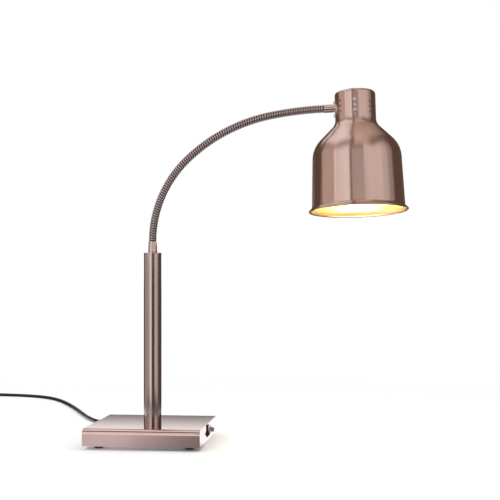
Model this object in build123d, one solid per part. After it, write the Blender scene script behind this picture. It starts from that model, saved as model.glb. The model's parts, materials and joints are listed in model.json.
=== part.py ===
from build123d import *
from math import atan2, cos, degrees, pi, radians, sin, tan
import os

# Table-top heat lamp: a weighted folded-sheet base, a round column, a flexible gooseneck and a
# spun bell shade over an infrared reflector bulb, with its mains cord and plug.
# Millimetres. The pieces are shaped with the column's axis on x = y = 0 and the table at z = 0.
# The last step moves them all so that the origin is the middle of the standing lamp's footprint.

# Base
BASE_WIDTH = 205.0
BASE_DEPTH = 205.0
SHELL_HEIGHT = 30.0
SHEET = 1.5
PANEL = 2.0
TOP_BEND = 9.0
LOWER_BEND = 3.5
FLANGE = 14.0
FOOT_CLEARANCE = 6.0
FOOT_X = 80.0
FOOT_Y = 75.0
FOOT_RADIUS = 8.0
SHELL_TOP = FOOT_CLEARANCE + SHELL_HEIGHT
PLATE_BOTTOM = FOOT_CLEARANCE + SHEET
PLATE_TOP = PLATE_BOTTOM + SHEET
BLOCK = 14.0
BLOCK_X = BASE_WIDTH / 2 - PANEL - BLOCK / 2
BLOCK_Y = BASE_DEPTH / 2 - SHEET - BLOCK / 2
BLOCK_HEIGHT = 15.0
WEIGHT_SIZE = (148.0, 136.0, 14.0)
WEIGHT_X = -14.0
WEIGHT_BOLT_X = 52.0

# Column and its fixings
COLUMN_RADIUS = 16.0
COLUMN_WALL = 1.5
COLUMN_TOP = 342.3
CAP_RIM = 2.0
SPIGOT_RADIUS = 8.0
LEAD_RADIUS = 3.25

# Gooseneck: tangent arcs of (radius, angle, links), from straight up over to nearly level
FERRULE_LENGTH = 21.2
FERRULE_END_RADIUS = 7.2
FERRULE_FOOT_RADIUS = 8.3
NECK_ARCS = ((203.0, 47.0, 4), (300.0, 32.5, 4), (626.0, 8.75, 2))
NECK_START_Z = COLUMN_TOP + FERRULE_LENGTH
NECK_RADIUS = 7.0
NECK_BORE = 3.0
BALL_RADIUS = 5.0
SOCKET_RADIUS = 5.3
LINK_GAP = 1.6

# Head, in its own frame: X along the upper ferrule, Z up the shade's axis at x = SHADE_X
HEAD_TWIST = -2.7
SHADE_X = 56.0
SHADE_WALL = 1.2
SHADE_NECK_RADIUS = 36.0
SHADE_OUTLINE = ((0.0, 26.5), (36.0, 26.5), (36.0, -30.8), (77.7, -72.5), (82.0, -178.6), (87.0, -182.9))
SHADE_BENDS = (5.0, 22.0, 48.0, 6.0)
BEAD_RADIUS = 1.7
BEAD_CENTRE = (86.2, -184.2)
HOLE_PITCH = 9.2
HOLE_MIDDLE_Z = -3.6
HOLE_TURN = -1.5
HOLE_SKEW = 2.5
VENT_RADIUS = 1.6
M4_RADIUS = 2.0
FERRULE_SCREW_Z = (10.6, -13.6)
LEG_FACE = 33.3
HOLDER_RADIUS = 20.5
HOLDER_TOP = 16.8
HOLDER_BOTTOM = -27.0
BULB_TIP_Z = 2.0
BULB_OUTLINE = ((13.2, -22.1), (14.8, -46.0), (62.5, -120.0), (62.5, -148.0), (34.0, -174.0), (0.0, -174.0))
BULB_BENDS = (30.0, 16.0, 20.0, 60.0)
GLASS = 1.0

# Switch and overload breaker, on the right-hand side panel
SWITCH_Y = -12.0
SWITCH_Z = 23.4
BEZEL = (1.8, 15.0, 21.0)
ROCKER_RADIUS = 8.6
ROCKER_WIDTH = 10.6
ROCKER_TILT = 8.0
ROCKER_PIVOT_X = BASE_WIDTH / 2 + BEZEL[0] - 2.6
BREAKER_Y = 26.0
BREAKER_Z = 20.0
BUTTON_RADIUS = 4.1
BUTTON_REACH = 6.2

# Mains cord: its route over the table as points, then a neat coil, then a short tail to the plug
CORD_RADIUS = 3.75
CORD_LENGTH = 1800.0
CORD_X = -80.0
CORD_Z = 17.0
BOOT_LENGTH = 30.0
ON_TABLE = CORD_RADIUS + 0.05
CORD_ROUTE = (
    (-80.0, 132.5, 17.0),
    (-80.0, 160.0, 17.0),
    (-94.0, 184.0, 9.5),
    (-122.0, 202.0, 4.2),
    (-160.0, 221.0, ON_TABLE),
    (-188.0, 263.0, ON_TABLE),
    (-219.0, 324.0, ON_TABLE),
    (-262.0, 419.0, ON_TABLE),
    (-306.0, 506.0, ON_TABLE),
    (-350.0, 584.0, ON_TABLE),
    (-396.0, 643.0, ON_TABLE),
    (-456.0, 681.0, ON_TABLE),
    (-532.0, 698.0, ON_TABLE),
    (-618.0, 700.0, ON_TABLE + 0.9),
)
TIE_THICKNESS = 1.0
COIL_CENTRE = (-618.0, 655.0)
COIL_RADIUS = 41.25
COIL_SECTION = 4 * CORD_RADIUS
TAIL_ROUTE = (
    (-663.0, 655.0, TIE_THICKNESS + 3 * CORD_RADIUS),
    (-662.0, 625.0, 10.2),
    (-667.0, 590.0, 6.6),
    (-678.0, 556.0, 5.7),
)
PLUG_TILT = 16.0


def ring(outer, inner, height):
    """A tube standing on z = 0."""
    return extrude(Circle(outer) - Circle(inner), height)


def rod(radius, height):
    """A round bar standing on z = 0."""
    return extrude(Circle(radius), height)


def hex_nut(flats, bore, height):
    """A hexagon nut standing on z = 0."""
    return extrude(RegularPolygon(flats / 2, 6, major_radius=False) - Circle(bore), height)


def dome_rivet(head_radius, head_height, shank_radius, length):
    """A plain dome-head rivet: the head stands on z = 0, and the shank hangs below."""
    bulge = (head_radius**2 + head_height**2) / (2 * head_height)
    head = Pos(0, 0, head_height - bulge) * Sphere(bulge) & Pos(0, 0, head_height) * Box(30, 30, 2 * head_height)
    return head + Pos(0, 0, -length) * rod(shank_radius, length)


def dome_screw(head_radius, head_height, shank_radius, length):
    """The same with a cross slot in its head."""
    head = dome_rivet(head_radius, head_height, shank_radius, length)
    for turn in (0, 90):
        head -= Pos(0, 0, head_height) * Rot(0, 0, turn) * Box(head_radius, 0.8, head_height)
    return head


def bent_tube(points, radius, bend):
    """A solid round lead along straight runs joined by equal bends."""
    path = FilletPolyline(*points, radius=bend)
    return sweep(Plane(path @ 0, z_dir=path % 0) * Circle(radius), path=path)


def base_outline(inset=0.0):
    """The base's cross-section in Y and Z: wide bends at the top, narrow ones at the bottom."""
    face = Rectangle(BASE_DEPTH, SHELL_HEIGHT)
    face = fillet(face.vertices().group_by(Axis.Y)[-1], TOP_BEND)
    face = fillet(face.vertices().group_by(Axis.Y)[0], LOWER_BEND)
    if inset:
        face = offset(face, -inset)
    return Plane.YZ * Pos(0, FOOT_CLEARANCE + SHELL_HEIGHT / 2) * face


def base_cover():
    """One folded sheet: front, top and back, with a flange turned in under each."""
    length = BASE_WIDTH - 2 * PANEL
    cover = extrude(base_outline(), length / 2, both=True) - extrude(base_outline(SHEET), length / 2, both=True)
    cover -= Pos(0, 0, FOOT_CLEARANCE) * Box(length, BASE_DEPTH - 2 * FLANGE, 4 * SHEET)
    cover -= Pos(0, 0, SHELL_TOP - 3) * rod(SPIGOT_RADIUS + 0.2, 6)
    for x in (-BLOCK_X, BLOCK_X):
        for y in (-BLOCK_Y, BLOCK_Y):
            cover -= Pos(x, y, FOOT_CLEARANCE - 1) * rod(M4_RADIUS + 0.2, 4)
    return cover - Pos(CORD_X, BASE_DEPTH / 2 - 4, CORD_Z) * Rot(-90, 0, 0) * rod(6.1, 6)


def side_panel(side):
    """A flat end plate. The right-hand one has the switch's and the breaker's openings."""
    panel = extrude(base_outline(), side * PANEL)
    panel = Pos(side * (BASE_WIDTH / 2 - PANEL), 0, 0) * panel
    if side > 0:
        panel -= Pos(BASE_WIDTH / 2, SWITCH_Y, SWITCH_Z) * Box(10, 13.2, 19.2)
        panel -= Pos(BASE_WIDTH / 2 - 5, BREAKER_Y, BREAKER_Z) * Rot(0, 90, 0) * rod(5.6, 10)
    return panel


def corner_places():
    """The four corner blocks' centres."""
    return [(x, y) for x in (-BLOCK_X, BLOCK_X) for y in (-BLOCK_Y, BLOCK_Y)]


def foot_places():
    """The four feet's centres."""
    return [(x, y) for x in (-FOOT_X, FOOT_X) for y in (-FOOT_Y, FOOT_Y)]


def bottom_plate():
    """A flat plate that lies on the cover's two flanges, inside it."""
    plate = Box(BASE_WIDTH - 2 * PANEL - 0.2, BASE_DEPTH - 2 * LOWER_BEND - 0.6, SHEET)
    plate = Pos(0, 0, PLATE_BOTTOM + SHEET / 2) * fillet(plate.edges().filter_by(Axis.Z), 4)
    for x, y in corner_places() + foot_places():
        plate -= Pos(x, y, PLATE_BOTTOM - 1) * rod(M4_RADIUS + 0.1, 4)
    for x in (-WEIGHT_BOLT_X, WEIGHT_BOLT_X):
        plate -= Pos(x + WEIGHT_X, 0, PLATE_BOTTOM - 1) * rod(3.1, 4)
    return plate


def corner_blocks():
    """Threaded steel blocks, spot-welded into the cover's corners above the bottom plate."""
    blocks = []
    for x, y in corner_places():
        block = Pos(x, y, PLATE_TOP + BLOCK_HEIGHT / 2) * Box(BLOCK - 0.4, BLOCK - 1.6, BLOCK_HEIGHT)
        blocks.append(block - Pos(x, y, PLATE_TOP - 1) * rod(M4_RADIUS + 0.05, 12))
    return Compound(children=blocks)


def bottom_screws():
    """Four screws that hold the bottom plate and flanges to the corner blocks."""
    screw = Rot(180, 0, 0) * dome_screw(3.6, 2.2, M4_RADIUS, 12)
    return Compound(children=[Pos(x, y, FOOT_CLEARANCE) * screw for x, y in corner_places()])


def rubber_feet():
    """Four round feet with a chamfered lower edge and a recess for the screw head."""
    foot = rod(FOOT_RADIUS, PLATE_BOTTOM)
    foot = chamfer(foot.edges().group_by(Axis.Z)[0], 1.0)
    foot -= rod(4.6, 4) + rod(M4_RADIUS + 0.1, 12)
    return Compound(children=[Pos(x, y, 0) * foot for x, y in foot_places()])


def foot_screws():
    """Four screws up through the feet into the bottom plate."""
    screw = Rot(180, 0, 0) * dome_screw(3.6, 2.2, M4_RADIUS, 7)
    return Compound(children=[Pos(x, y, 4) * screw for x, y in foot_places()])


def counterweight():
    """A steel slab bolted to the bottom plate, with a well and a channel for the lamp lead."""
    length, depth, height = WEIGHT_SIZE
    slab = Pos(WEIGHT_X, 0, PLATE_TOP + height / 2) * chamfer(Box(length, depth, height).edges(), 1.0)
    slab -= Pos(0, 0, PLATE_TOP - 1) * rod(19, height + 2)
    slab -= Pos(0, depth / 4, PLATE_TOP + height / 2) * Box(14, depth / 2 + 2, height + 2)
    for x in (-WEIGHT_BOLT_X, WEIGHT_BOLT_X):
        slab -= Pos(x + WEIGHT_X, 0, PLATE_TOP - 1) * rod(3.05, height + 2)
    return slab


def counterweight_bolts():
    """Two bolts up through the bottom plate into the slab."""
    bolt = Rot(180, 0, 0) * dome_screw(5.0, 2.8, 3.0, 14)
    places = [x + WEIGHT_X for x in (-WEIGHT_BOLT_X, WEIGHT_BOLT_X)]
    return Compound(children=[Pos(x, 0, PLATE_BOTTOM) * bolt for x in places])


def column_tube():
    """The column: a round tube that stands on the cover."""
    height = COLUMN_TOP - CAP_RIM - SHELL_TOP
    return Pos(0, 0, SHELL_TOP) * ring(COLUMN_RADIUS, COLUMN_RADIUS - COLUMN_WALL, height)


def column_foot():
    """A turned plug in the tube's lower end, with a threaded hollow spigot through the cover."""
    plug = Pos(0, 0, SHELL_TOP) * rod(COLUMN_RADIUS - COLUMN_WALL - 0.05, 22)
    plug += Pos(0, 0, SHELL_TOP - 12) * rod(SPIGOT_RADIUS, 12)
    return plug - Pos(0, 0, SHELL_TOP - 13) * rod(4.2, 40)


def column_washer():
    """A wide washer under the cover's top."""
    return Pos(0, 0, SHELL_TOP - SHEET - 2) * ring(17, SPIGOT_RADIUS + 0.15, 2)


def column_nut():
    """The nut that pulls the column down on the cover."""
    return Pos(0, 0, SHELL_TOP - SHEET - 9.5) * hex_nut(24, SPIGOT_RADIUS + 0.05, 7.5)


def column_cap():
    """The turned cap in the tube's top, threaded for the lower ferrule."""
    cap = Pos(0, 0, COLUMN_TOP - CAP_RIM) * rod(COLUMN_RADIUS, CAP_RIM)
    cap = chamfer(cap.edges().group_by(Axis.Z)[-1], 0.5)
    cap += Pos(0, 0, COLUMN_TOP - CAP_RIM - 12) * rod(COLUMN_RADIUS - COLUMN_WALL - 0.05, 12)
    return cap - Pos(0, 0, COLUMN_TOP - 20) * rod(5.05, 30)


def column_lead():
    """The lamp lead: down the column and out along the slab's channel to the terminal block."""
    points = ((0, 0, COLUMN_TOP + 8), (0, 0, 14.5), (0, 79, 14.5), (29.7, 79, 14.5))
    return bent_tube(points, LEAD_RADIUS, 9.0)


def ferrule_body(foot_radius, shank):
    """A tapered collar from z = 0 up, with a threaded shank of the given length below it."""
    profile = Polygon(
        (0, 0), (foot_radius, 0), (foot_radius, 2.5), (FERRULE_END_RADIUS, FERRULE_LENGTH), (0, FERRULE_LENGTH),
        align=None,
    )
    return revolve(Plane.XZ * profile, Axis.Z) + Pos(0, 0, -shank) * rod(5.0, shank)


def lower_ferrule():
    """The collar on the column, which ends in the first ball of the gooseneck."""
    collar = ferrule_body(FERRULE_FOOT_RADIUS, 12) - Pos(0, 0, FERRULE_LENGTH - LINK_GAP / 2) * rod(20, 5)
    collar += Pos(0, 0, FERRULE_LENGTH) * Sphere(BALL_RADIUS)
    collar -= Pos(0, 0, -13) * rod(3.5, 13 + FERRULE_LENGTH - 8) + rod(NECK_BORE, 40)
    return Pos(0, 0, COLUMN_TOP) * collar


def neck_stations():
    """Each pivot of the gooseneck as (x, z, heading in degrees, next link's radius, its angle)."""
    x, z, heading = 0.0, NECK_START_Z, 90.0
    stations = []
    for radius, angle, links in NECK_ARCS:
        for _ in range(links):
            step = angle / links
            stations.append((x, z, heading, radius, step))
            x, z = along_arc(x, z, heading, radius, step)
            heading -= step
    stations.append((x, z, heading, None, None))
    return stations


def along_arc(x, z, heading, radius, step):
    """The point reached from (x, z) after turning clockwise by step degrees."""
    before = radians(heading)
    after = radians(heading - step)
    return x + radius * (sin(before) - sin(after)), z + radius * (cos(after) - cos(before))


def arc_bar(station, bar_radius, trim):
    """A round bar along a link's arc, shortened at each end by trim, or lengthened if it is negative."""
    x, z, heading, radius, step = station
    cut = degrees(trim / radius)
    places = [along_arc(x, z, heading, radius, turn) for turn in (cut, step / 2, step - cut)]
    path = ThreePointArc(*[(px, 0, pz) for px, pz in places])
    return sweep(Plane(path @ 0, x_dir=(0, 1, 0), z_dir=path % 0) * Circle(bar_radius), path=path)


def neck_ball(station, radius):
    """A sphere on a pivot of the gooseneck, with its poles along the gooseneck."""
    x, z, heading = station[:3]
    along = (cos(radians(heading)), 0, sin(radians(heading)))
    return Plane((x, 0, z), x_dir=(0, 1, 0), z_dir=along) * Sphere(radius)


def neck_link(station, next_station):
    """One link: a bent sleeve with a socket at its lower end and a bored ball at its upper end."""
    link = arc_bar(station, NECK_RADIUS, LINK_GAP / 2) + neck_ball(next_station, BALL_RADIUS)
    link -= neck_ball(station, SOCKET_RADIUS)
    return link - arc_bar(station, NECK_BORE, -BALL_RADIUS - 3)


def head_place():
    """The head's frame: on the gooseneck's end, tilted as it ends, and twisted about its axis."""
    x, z, heading, _, _ = neck_stations()[-1]
    return Pos(x, 0, z) * Rot(0, -heading, 0) * Rot(HEAD_TWIST, 0, 0)


def round_neck(angle, z, reach):
    """A place on the shade's neck, with Z pointing out along the radius at the given angle."""
    return Pos(SHADE_X, 0, z) * Rot(0, 0, angle) * Pos(reach, 0, 0) * Rot(0, 90, 0)


def upper_ferrule():
    """The collar on the shade: a socket for the last ball, and a shank through the neck's wall."""
    collar = Rot(0, -90, 0) * Pos(0, 0, -FERRULE_LENGTH) * ferrule_body(FERRULE_END_RADIUS, 9.0)
    collar -= Pos(SHADE_X, 0, -50) * rod(SHADE_NECK_RADIUS + 0.05, 100) - Rot(0, 90, 0) * rod(5.0, 60)
    collar -= Rot(0, 90, 0) * Sphere(SOCKET_RADIUS)
    collar -= Box(LINK_GAP, 40, 40)
    return collar - Rot(0, 90, 0) * rod(3.2, 60)


def ferrule_plate():
    """A curved stiffening plate inside the neck, behind the ferrule."""
    plate = Pos(SHADE_X, 0, -22) * ring(34.7, 32.7, 40) & Pos(22, 0, 0) * Box(12, 18, 60)
    plate -= Rot(0, 90, 0) * rod(5.2, 40)
    for z in FERRULE_SCREW_Z:
        plate -= Pos(0, 0, z) * Rot(0, 90, 0) * rod(M4_RADIUS + 0.1, 40)
    return plate


def ferrule_nut():
    """The nut on the upper ferrule's shank, with flats towards the screws."""
    return Pos(24.4, 0, 0) * Rot(0, 90, 0) * Rot(0, 0, 30) * hex_nut(13, 5.05, 5.0)


def ferrule_screws():
    """Two dome-head screws and their nuts, above and below the ferrule."""
    pieces = []
    for z in FERRULE_SCREW_Z:
        pieces.append(round_neck(180, z, SHADE_NECK_RADIUS + 0.05) * dome_screw(3.1, 2.8, M4_RADIUS, 9))
        pieces.append(round_neck(180, z, 28.9) * Rot(0, 0, 30) * hex_nut(7, M4_RADIUS + 0.05, 3))
    return Compound(children=pieces)


def offset_outline(points, distance):
    """The same open outline, moved to the right of its direction by the distance."""
    lines = []
    for (x0, y0), (x1, y1) in zip(points, points[1:]):
        angle = atan2(y1 - y0, x1 - x0)
        lines.append((x0 + distance * sin(angle), y0 - distance * cos(angle), angle))
    moved = [lines[0][:2]]
    for (ax, ay, a), (bx, by, b) in zip(lines, lines[1:]):
        run = ((bx - ax) * sin(b) - (by - ay) * cos(b)) / (cos(a) * sin(b) - sin(a) * cos(b))
        moved.append((ax + run * cos(a), ay + run * sin(a)))
    x, y = points[-1]
    moved.append((x + distance * sin(lines[-1][2]), y - distance * cos(lines[-1][2])))
    return moved


def spun_wall(outline, bends, wall):
    """A thin wall revolved about Z, inside an outline of (r, z) points with a radius at each corner."""
    inner_bends = []
    for before, corner, after, bend in zip(outline, outline[1:], outline[2:], bends):
        turn = (corner[0] - before[0]) * (after[1] - corner[1]) - (corner[1] - before[1]) * (after[0] - corner[0])
        inner_bends.append(bend + wall if turn > 0 else bend - wall)
    outer = FilletPolyline(*outline, radius=bends)
    inner = FilletPolyline(*offset_outline(outline, wall), radius=inner_bends)
    edges = outer.edges() + inner.edges()
    edges += Line(outer @ 0, inner @ 0).edges() + Line(outer @ 1, inner @ 1).edges()
    return revolve(Plane.XZ * make_face(edges), Axis.Z)


def shade_shell():
    """A spun bell: closed neck with vents, sloping shoulder, long skirt, flared and beaded lip."""
    shell = spun_wall(SHADE_OUTLINE, SHADE_BENDS, SHADE_WALL)
    shell += revolve(Plane.XZ * Pos(*BEAD_CENTRE) * Circle(BEAD_RADIUS), Axis.Z)
    shell = Pos(SHADE_X, 0, 0) * shell - bracket_holes()
    for row in (-1, 0, 1):
        for angle in (0, 45, 135, 225, 315):
            shell -= hole_place(angle, row, 30) * rod(VENT_RADIUS, 10)
    for z in FERRULE_SCREW_Z:
        shell -= round_neck(180, z, 30) * rod(M4_RADIUS + 0.1, 10)
    return shell - round_neck(180, 0, 30) * rod(5.2, 10)


def hole_place(angle, row, reach):
    """A place in the pattern of holes round the neck, which is drilled slightly turned and askew."""
    angle += HOLE_TURN
    return round_neck(angle, HOLE_MIDDLE_Z + row * HOLE_PITCH - HOLE_SKEW * cos(radians(angle)), reach)


def bracket_holes():
    """The drill's path for the bracket's two rivets, and for its four screws above and below them."""
    paths = Part()
    for angle in (90, 270):
        paths += hole_place(angle, 0, 30) * rod(VENT_RADIUS + 0.05, 10)
        for row in (-1, 1):
            paths += hole_place(angle, row, 30) * rod(M4_RADIUS + 0.1, 10)
    return paths


def lampholder_bracket():
    """A strap bent into a U: a leg down the neck's front and back, and a bar over the holder."""
    low, high = -20.0, HOLDER_TOP + SHEET
    strap = Pos(0, 0, (low + high) / 2) * Box(14, 2 * LEG_FACE, high - low)
    strap -= Pos(0, 0, (low + HOLDER_TOP) / 2 - 1) * Box(20, 2 * (LEG_FACE - SHEET), HOLDER_TOP - low + 2)
    strap = Pos(SHADE_X, 0, 0) * strap - bracket_holes()
    for x in (-5, 5):
        strap -= Pos(SHADE_X + x, 0, HOLDER_TOP - 1) * rod(1.6, 4)
    return strap


def bracket_screws():
    """Four dome-head screws: a pair through the neck's front, and a pair through its back."""
    screw = dome_screw(3.75, 2.6, M4_RADIUS, 9)
    places = [hole_place(angle, row, SHADE_NECK_RADIUS + 0.05) for angle in (90, 270) for row in (-1, 1)]
    return Compound(children=[place * screw for place in places])


def bracket_rivets():
    """Two dome-head rivets between the pairs of screws."""
    rivet = dome_rivet(2.3, 1.1, VENT_RADIUS, 5.2)
    return Compound(children=[hole_place(angle, 0, SHADE_NECK_RADIUS + 0.05) * rivet for angle in (90, 270)])


def bracket_nuts():
    """The nuts on the bracket's screws, inside its legs."""
    nut = hex_nut(7, M4_RADIUS + 0.05, 3)
    return Compound(children=[hole_place(angle, row, 28.7) * nut for angle in (90, 270) for row in (-1, 1)])


def lampholder():
    """The porcelain holder: a turned body with a deep socket and a waist groove."""
    height = HOLDER_TOP - HOLDER_BOTTOM
    body = Pos(0, 0, HOLDER_BOTTOM) * rod(HOLDER_RADIUS, height)
    body = fillet(body.edges(), 2.0)
    body -= Pos(0, 0, 4) * ring(HOLDER_RADIUS + 2, HOLDER_RADIUS - 1.5, 4)
    body -= Pos(0, 0, HOLDER_BOTTOM - 1) * rod(14.9, 33)
    for x in (-5, 5):
        body -= Pos(x, 0, HOLDER_TOP - 9) * rod(1.55, 12)
    return Pos(SHADE_X, 0, 0) * body


def lampholder_screws():
    """Two screws down through the bracket's bar into the porcelain."""
    screw = dome_screw(2.6, 1.6, 1.5, 9)
    return Compound(children=[Pos(SHADE_X + x, 0, HOLDER_TOP + 1.5) * screw for x in (-5, 5)])


def lampholder_shell():
    """The brass screw shell in the porcelain."""
    return Pos(SHADE_X, 0, -24) * ring(14.2, 13.6, 24)


def lampholder_contact():
    """The sprung centre contact: a strip folded back on itself under the porcelain's roof."""
    strip = Pos(1, 0, 4.2 - 0.4) * Box(11, 4, 0.4) + Pos(-4.3, 0, 3.0) * Box(0.4, 4, 2)
    strip += Pos(0, 0, BULB_TIP_Z + 0.2) * Box(9, 4, 0.4)
    return Pos(SHADE_X, 0, 0) * strip - Pos(SHADE_X + 1, 0, 4.5) * Box(20, 20, 0.6)


def head_lead():
    """Two insulated wires from the ferrule's bore, up past the holder and down into its top."""
    wires = []
    high = HOLDER_TOP + 4.9
    for y in (-1.6, 1.6):
        points = ((26, y, 0), (32.6, y, 0), (32.6, y, high), (SHADE_X - 11, y, high), (SHADE_X - 11, y, HOLDER_TOP))
        wires.append(bent_tube(points, 1.2, 2.4))
    return Compound(children=wires)


def bulb_glass():
    """The reflector bulb's glass: a hollow pear with a domed face, open where its cap closes it."""
    return Pos(SHADE_X, 0, 0) * spun_wall(BULB_OUTLINE, BULB_BENDS, GLASS)


def bulb_cap():
    """The bulb's screw cap, with rolled threads and a soldered rim."""
    cap = Pos(0, 0, BULB_TIP_Z - 24) * rod(12.6, 19)
    for row in range(4):
        cap += Pos(0, 0, BULB_TIP_Z - 20 + 3.62 * row) * Torus(11.9, 1.2)
    cap -= Pos(0, 0, BULB_TIP_Z - 24.5) * rod(11.6, 18.5)
    return Pos(SHADE_X, 0, 0) * cap


def bulb_insulator():
    """The black glass disc between the cap and its tip."""
    return Pos(SHADE_X, 0, BULB_TIP_Z - 5) * Cone(9.5, 5.0, 3.5, align=(Align.CENTER, Align.CENTER, Align.MIN))


def bulb_contact():
    """The solder tip in the middle of the insulator."""
    return Pos(SHADE_X, 0, BULB_TIP_Z - 1.5) * rod(4.0, 1.5)


def switch_housing():
    """The rocker switch's bezel and body, with a round-bottomed well for the rocker."""
    thick, wide, high = BEZEL
    bezel = Box(thick, wide, high)
    bezel = Pos(BASE_WIDTH / 2 + thick / 2, 0, 0) * fillet(bezel.edges().group_by(Axis.X)[-1], 0.6)
    body = bezel + Pos(BASE_WIDTH / 2 - 9, 0, 0) * Box(18, 12.9, 18.9)
    well = Pos(ROCKER_PIVOT_X, 0, 0) * Rot(90, 0, 0)
    body -= well * Pos(0, 0, -5.6) * rod(ROCKER_RADIUS + 0.35, 11.2)
    body -= well * Pos(0, 0, -6.1) * rod(1.25, 12.2)
    return Pos(0, SWITCH_Y, SWITCH_Z) * body


def rocker():
    """The rocker: a shallow vee face on a round back, on two short pivots, tipped to on."""
    slope = tan(radians(ROCKER_TILT)) * 12
    face = Polygon((-5.5, -12), (2.8 + slope, -12), (2.8, 0), (2.8 + slope, 12), (-5.5, 12), align=None)
    profile = Circle(ROCKER_RADIUS) & face
    key = extrude(Plane.XZ * profile, ROCKER_WIDTH / 2, both=True)
    key += Rot(90, 0, 0) * Pos(0, 0, -5.95) * rod(1.2, 11.9)
    return Pos(ROCKER_PIVOT_X, SWITCH_Y, SWITCH_Z) * Rot(0, -ROCKER_TILT, 0) * key


def switch_terminals():
    """Three flat blades out of the back of the switch."""
    x = BASE_WIDTH / 2 - 18 - 4
    return Compound(children=[Pos(x, SWITCH_Y, SWITCH_Z + z) * Box(8, 4.8, 0.8) for z in (-6.5, 0, 6.5)])


def breaker_body():
    """The thermal overload breaker: a block inside the panel, and a bush through it."""
    face = BASE_WIDTH / 2
    body = Pos(face - PANEL - 9, 0, -0.5) * Box(18, 14, 19) + Pos(face - PANEL - 1, 0, 0) * Rot(0, 90, 0) * rod(5.5, 3.8)
    body -= Pos(face - PANEL - 8, 0, 0) * Rot(0, 90, 0) * rod(BUTTON_RADIUS + 0.08, 20)
    return Pos(0, BREAKER_Y, BREAKER_Z) * body


def breaker_collar():
    """The thin threaded ring that holds the breaker in the panel."""
    return Pos(BASE_WIDTH / 2, BREAKER_Y, BREAKER_Z) * Rot(0, 90, 0) * ring(6.8, 5.55, 1.0)


def reset_button():
    """The breaker's round reset button, with a rounded end."""
    length = BUTTON_REACH + PANEL + 3.5
    button = fillet(rod(BUTTON_RADIUS, length).edges().group_by(Axis.Z)[-1], 1.2)
    return Pos(BASE_WIDTH / 2 - PANEL - 3.5, BREAKER_Y, BREAKER_Z) * Rot(0, 90, 0) * button


def terminal_block():
    """A three-way terminal block on the bottom plate, behind the slab."""
    block = Pos(46, 84, PLATE_TOP + 7) * Box(32, 20, 14)
    for step in (-10, 0, 10):
        block -= Pos(46 + step, 84, PLATE_TOP + 9) * rod(2.6, 20)
        block -= Pos(46 + step, 84, PLATE_TOP + 5) * Rot(90, 0, 0) * Pos(0, 0, -15) * rod(2.2, 30)
    return block


def earth_stud():
    """The earthing stud on the bottom plate, with its nut."""
    return Pos(80, 50, PLATE_TOP) * (rod(2.0, 12) + hex_nut(8, 1.9, 3.2) + Pos(0, 0, 3.2) * rod(5, 1))


def base_wiring():
    """The cord's inner end to the terminal block, and the leads to the breaker and the switch."""
    inlet = ((CORD_X, 93.9, CORD_Z), (CORD_X, 80, CORD_Z), (-20, 80, CORD_Z), (5, 88.8, 17.5), (29.7, 88.8, 17.5))
    tail = bent_tube(inlet, CORD_RADIUS, 10)
    to_breaker = bent_tube(((62.2, 88, 14), (73.5, 88, 14), (73.5, 27, 15), (82.3, 27, 15)), 1.3, 5)
    to_switch = bent_tube(((62.2, 80, 14), (69, 80, 14), (69, SWITCH_Y, SWITCH_Z), (76.3, SWITCH_Y, SWITCH_Z)), 1.3, 5)
    return Compound(children=[tail, to_breaker, to_switch])


def strain_relief():
    """The cord's moulded boot: a flange on the base's back, tapering ribs, and a neck inside."""
    back = BASE_DEPTH / 2
    boot = Polygon((0, 0), (8.5, 0), (8.5, 2.2), (6.4, 3.2), (4.7, BOOT_LENGTH), (0, BOOT_LENGTH), align=None)
    piece = revolve(Plane.XZ * boot, Axis.Z) + Pos(0, 0, -8.5) * rod(6.0, 8.5)
    for row in range(5):
        z = 7.0 + 4.2 * row
        piece -= Pos(0, 0, z) * ring(9, 4.6 + 0.06 * (BOOT_LENGTH - z), 1.4)
    return Pos(CORD_X, back, CORD_Z) * Rot(-90, 0, 0) * piece


def route_bends(route):
    """Each corner's radius: 0.45 of its shorter run, divided by the tangent of half its turn."""
    bends = []
    for before, corner, after in zip(route, route[1:], route[2:]):
        run_in = Vector(*corner) - Vector(*before)
        run_out = Vector(*after) - Vector(*corner)
        half_turn = radians(run_in.get_angle(run_out)) / 2
        bends.append(0.45 * min(run_in.length, run_out.length) / tan(half_turn))
    return bends


def cord_tube(route):
    """A round cord along straight runs and tangent arcs, with its centre line's length."""
    bends = route_bends(route)
    path = FilletPolyline(*route, radius=bends)
    tube = sweep(Plane(path @ 0, z_dir=path % 0) * Circle(CORD_RADIUS), path=path)
    section = pi * CORD_RADIUS**2
    print("cord bend radii", [round(bend) for bend in bends])
    print(f"cord tube volume {tube.volume:.0f}, section times length {section * path.length:.0f}")
    return tube, path.length


def cord_coil():
    """The outer shape of the wound turns: a ring two cords wide and two high."""
    section = Pos(COIL_RADIUS, TIE_THICKNESS + COIL_SECTION / 2) * RectangleRounded(COIL_SECTION, COIL_SECTION, 3.5)
    return Pos(*COIL_CENTRE, 0) * revolve(Plane.XZ * section, Axis.Z)


def cord_tie():
    """A strap round the coil's section."""
    outer = COIL_SECTION + 2 * TIE_THICKNESS
    band = Box(outer + 1.0, 10, outer) - Box(COIL_SECTION + 1.0, 12, COIL_SECTION)
    band = fillet(band.edges().filter_by(Axis.Y), 0.4)
    return Pos(*COIL_CENTRE, outer / 2) * Rot(0, 0, -50) * Pos(COIL_RADIUS, 0, 0) * band


def plug_place():
    """The plug's frame: Z runs from the cord's end to the pins, tipped up as the plug lies."""
    x, y, z = TAIL_ROUTE[-1]
    last = Vector(*TAIL_ROUTE[-1]) - Vector(*TAIL_ROUTE[-2])
    turn = degrees(atan2(last.Y, last.X))
    return Pos(x, y, z) * Rot(0, 0, turn) * Rot(0, 90 - PLUG_TILT, 0)


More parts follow.
